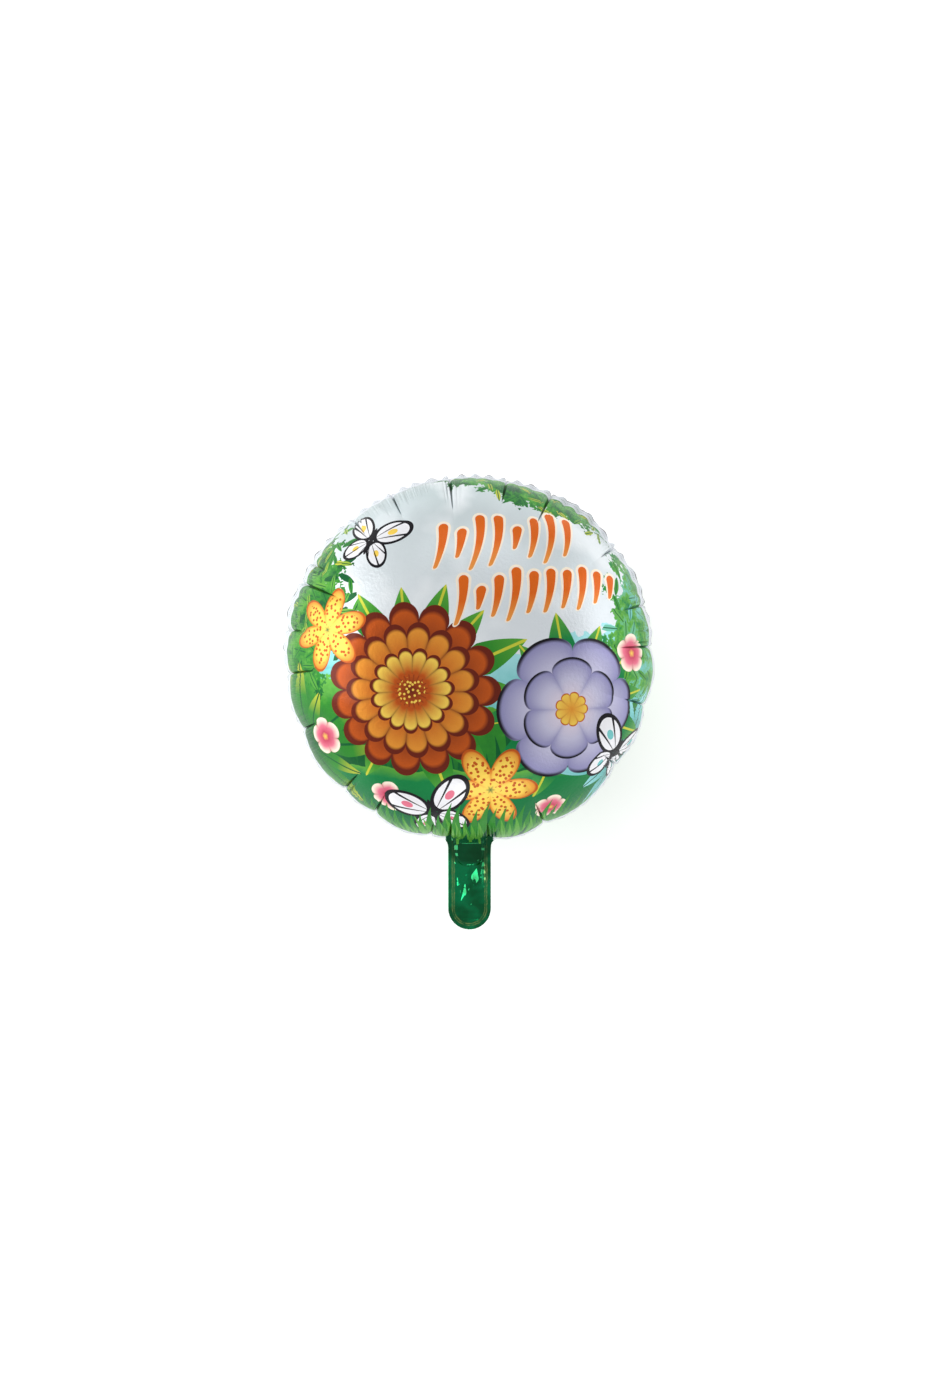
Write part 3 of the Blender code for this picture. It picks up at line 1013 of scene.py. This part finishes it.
band_foil, band_shader = new_foil("welded_edge_foil", 0.12, 0.45, 0.5, 0.15, 0.3)
marks = Inks(band_foil, BAND_GREY)
angle = marks.maths("ARCTAN2", marks.y, marks.x)
dashes = marks.maths("SINE", marks.times(angle, DASHES_ROUND))
from_row = marks.minus(marks.length(marks.point), DASH_ROW_AT)
in_row = marks.below(marks.bare(from_row), DASH_ROW_WIDE)
pressed = marks.times(marks.above(dashes, -0.2), in_row)
marks.lay(marks.times(pressed, 0.45), BAND_DASH)
cut_edge = marks.above(marks.length(marks.point), CUT_EDGE_AT)
patchy = marks.share(marks.noise(13.0, 2.0), 0.40, 0.60, 0.9)
marks.lay(marks.times(cut_edge, patchy), CUT_EDGE_SHADE)
finish(marks, band_shader, crinkle(marks, 120.0), strength=0.2, distance=0.0004)

# The tail's foil: green lacquer over bare metal, bright as a mirror, with painted shade that
# darkens it over the neck, and a worn pair of olive lines where the tool welded its edge.
TAIL_GREEN = ink(0, 152, 92)
TAIL_GREEN_DEEP = ink(0, 98, 50)
TAIL_WELD_OLIVE = ink(178, 196, 112)
NECK_PAINTED_SHADE = ink(6, 78, 40)
NECK_SHADE_SIZE = (0.130, 0.127)  # half sizes of the painted shade on the neck, in shares of the flat disc's radius
PAIR_APART = 0.0009  # half way from one olive line to the other
PAIR_WIDE = 0.0007

tail_foil, tail_shader = new_foil("green_tail_foil", 1.0, 0.13, 0.5, 0.35, 0.06)
tail_shader.inputs["Specular Tint"].default_value = ink(70, 214, 150)
tint = Inks(tail_foil, TAIL_GREEN)
tint.lay(tint.share(tint.noise(11.0, 2.0), 0.38, 0.62, 0.8), TAIL_GREEN_DEEP)
inset = tint.node("Attribute", out="Fac", attribute_name="inset")
wander = tint.linear(tint.noise(60.0), 0.0012, -0.0006)
off_line = tint.minus(tint.maths("ADD", inset, wander), TAIL_WELD)
off_pair = tint.minus(tint.bare(off_line), PAIR_APART)
near_pair = tint.minus(PAIR_WIDE, tint.bare(off_pair))
worn = tint.share(tint.noise(34.0, 3.0, 0.7), 0.30, 0.60)
tint.lay(tint.times(tint.share(near_pair, 0.0, PAIR_WIDE, 0.8), worn), TAIL_WELD_OLIVE)
# Painted shade: the tail's foil is darkened over the neck.
off_neck_shade = tint.length(tint.placed((0.0, -1.0), 0.0, NECK_SHADE_SIZE))
tint.lay(tint.node("MapRange", off_neck_shade, 1.04, 0.84, 0.0, 0.8), NECK_PAINTED_SHADE)
finish(tint, tail_shader, crinkle(tint, 60.0), strength=0.15, distance=0.0006)

# The front sheet, printed with a garden in pale morning light: leaves, big ruffled blooms,
# butterflies and grass, with two rows of brush strokes above.
RUST_DARK = ink(108, 38, 24)
RUST = ink(194, 88, 30)
AMBER = ink(232, 152, 56)
GOLD = ink(252, 214, 92)
CREAM = ink(255, 242, 222)
LILAC_SHADE = ink(150, 148, 192)
LILAC = ink(202, 200, 226)
LILAC_PALE = ink(226, 216, 232)
PINK = ink(232, 122, 146)
PINK_DEEP = ink(204, 66, 98)
ORANGE = ink(226, 106, 30)
ORANGE_PALE = ink(244, 168, 84)
BLACK = ink(26, 24, 30)
WHITE = ink(244, 244, 248)

DAHLIA_AT = (-0.24, -0.14)
LILAC_BLOOM_AT = (0.43, -0.22)
FOLIAGE = ((0.34, LEAF_DARK), (0.48, LEAF), (0.62, LEAF_BRIGHT))
FOLIAGE_FAR = ((0.34, MEADOW), (0.48, LEAF_BRIGHT), (0.66, LAGOON))
SMALL_LEAVES = ((0.0, LEAF_DARK), (0.5, LEAF), (1.0, LEAF_TIP))


def far_foliage(inks):
    """Hanging leaves round the sky."""
    bush(inks, (-0.86, 0.30), (0.34, 0.50), 16, 7.0, FOLIAGE)
    bush(inks, (0.34, 0.90), (0.60, 0.25), -17, 8.0, FOLIAGE)
    bush(inks, (0.90, 0.10), (0.32, 0.48), 6, 7.0, FOLIAGE_FAR)
    leafage(inks, (-0.76, 0.32), (0.30, 0.48), 12, (*FOLIAGE[:2], (1.0, LEAF_BRIGHT)), 16)
    leafage(inks, (-0.80, 0.38), (0.28, 0.44), 14,
            ((0.0, LEAF), (0.6, LEAF_BRIGHT), (1.0, LEAF_TIP)), 16, 0.36, 3.3)
    leafage(inks, (0.38, 0.84), (0.58, 0.20), 13, SMALL_LEAVES, -18, 0.36, 7.7)
    leafage(inks, (0.86, 0.08), (0.26, 0.46), 12,
            ((0.0, LEAF), (0.6, LEAF_BRIGHT), (1.0, LAGOON)), 4, 0.42, 1.9)


def near_leaves(inks):
    """Crowns of long leaves that the blooms stand in."""
    fan(inks, (-0.80, -0.42), 0.50, 13, 0.13, ((0.0, LEAF_DARK), (0.6, LEAF), (1.0, LEAF_TIP)),
        LEAF_DARK, 8, 2)
    fan(inks, (0.76, -0.46), 0.46, 12, 0.15, ((0.0, MEADOW_DEEP), (0.6, LAGOON),
        (1.0, LAGOON_PALE)), MEADOW_DEEP, 3, 9)
    fan(inks, DAHLIA_AT, 0.54, 15, 0.14, ((0.0, LEAF_DARK), (0.7, LEAF), (1.0, LEAF_BRIGHT)),
        LEAF_TIP, 0, 5)
    fan(inks, LILAC_BLOOM_AT, 0.47, 12, 0.16, ((0.0, LEAF_DARK), (0.7, MEADOW),
        (1.0, LEAF_BRIGHT)), LEAF_TIP, 10, 7)


def blooms(inks):
    """The big ruffled blooms, the freckled gold ones and the small pink ones."""
    for size, turn, dark, light in ((0.37, 0, RUST_DARK, RUST), (0.285, 11, RUST, AMBER),
                                    (0.18, 4, RUST, GOLD)):
        bloom(inks, DAHLIA_AT, size, 15, 0.20,
              ((0.0, RUST_DARK), (0.45, dark), (0.88, light), (0.93, RUST_DARK)), RUST_DARK, turn)
    heart = bloom(inks, DAHLIA_AT, 0.07, 20, 0.05, ((0.0, RUST_DARK), (1.0, RUST)), RUST_DARK)
    freckles(inks, heart, 0.0, 55, GOLD)
    for size, turn in ((0.32, 0), (0.22, 30)):
        bloom(inks, LILAC_BLOOM_AT, size, 6, 0.26,
              ((0.0, PINK), (0.3, LILAC_PALE), (0.6, LILAC), (0.93, LILAC_SHADE), (0.97, BLACK)),
              LILAC_SHADE, turn, 0.35)
    bloom(inks, LILAC_BLOOM_AT, 0.075, 9, 0.2, ((0.0, AMBER), (0.9, GOLD), (0.95, RUST)), RUST)
    for at, size, turn, scale in (((-0.62, 0.12), 0.19, 14, 46), ((0.09, -0.57), 0.21, 0, 42)):
        petals = bloom(inks, at, size, 6, 0.55, ((0.0, LEAF_DARK), (0.12, GOLD), (0.7, GOLD),
                       (0.92, AMBER), (0.96, RUST)), ORANGE, turn, 1.1)
        freckles(inks, petals, 0.22, scale, RUST)
    for at, size, turn in (((-0.37, -0.63), 0.085, 0), ((0.74, 0.02), 0.09, 20),
                           ((-0.66, -0.36), 0.09, 35), ((0.38, -0.70), 0.08, 10)):
        bloom(inks, at, size, 5, 0.28, ((0.0, GOLD), (0.24, PINK_DEEP), (0.6, PINK), (0.9, CREAM)),
              PINK_DEEP, turn, 0.4)


def garden(inks):
    """The whole front print, from the back of the picture forward."""
    far_foliage(inks)
    near_leaves(inks)
    blooms(inks)
    butterfly(inks, (-0.16, -0.70), 0.19, 18, PINK)
    butterfly(inks, (0.70, -0.46), 0.19, -24, LAGOON)
    butterfly(inks, (-0.44, 0.52), 0.16, -20, GOLD)
    for row in ((0.16, 0.50, 7, 8, 0.080, 0.13, 4), (0.30, 0.27, 7, 10, 0.074, 0.11, 8)):
        across, up, turn, count, spacing, tall, seed = row
        strokes(inks, (across, up), turn, count, spacing, tall, 0.017, seed,
                ((0.0, ORANGE_PALE), (0.5, ORANGE), (1.0, ORANGE)), CREAM)
    blades(inks, -0.78, 0.15, 0.042, -0.7, LEAF, 5.0)
    blades(inks, -0.88, 0.16, 0.036, 0.7, LEAF_BRIGHT, 9.0)
    blades(inks, -1.00, 0.20, 0.048, -0.4, MEADOW_DEEP, 1.0)


def laid_out(name, side, seed, printed):
    """A sheet in its place, with its materials. The front's side is 1, and the back's -1."""
    sheet = bpy.data.objects.new(name, sheet_mesh(name, side, seed))
    bpy.context.scene.collection.objects.link(sheet)
    sheet.location = (0, 0, weld_height)
    for material in (printed, band_foil, tail_foil):
        sheet.data.materials.append(material)
    return sheet


front_sheet = laid_out("front_sheet", 1, 5, printed_foil("printed_front_foil", garden))
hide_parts("front_foil")
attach(front_sheet, "root")

# The back sheet, of the same film, with a plainer print: the same sky and meadow, leaves at
# both sides and grass. The balloon lies on the flat spot in its middle.


def plain_garden(inks):
    """The back's print."""
    bush(inks, (-0.92, 0.30), (0.34, 0.56), 10, 7.0, FOLIAGE)
    bush(inks, (0.94, 0.24), (0.34, 0.50), -10, 7.0, FOLIAGE)
    leafage(inks, (0.84, 0.24), (0.28, 0.50), 13, SMALL_LEAVES, -10, 0.36, 7.7)
    blades(inks, -0.78, 0.15, 0.042, -0.7, LEAF, 5.0)
    blades(inks, -0.92, 0.16, 0.036, 0.7, LEAF_BRIGHT, 9.0)


back_sheet = laid_out("back_sheet", -1, 8, printed_foil("printed_back_foil", plain_garden))
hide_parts("back_foil")
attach(back_sheet, "root")
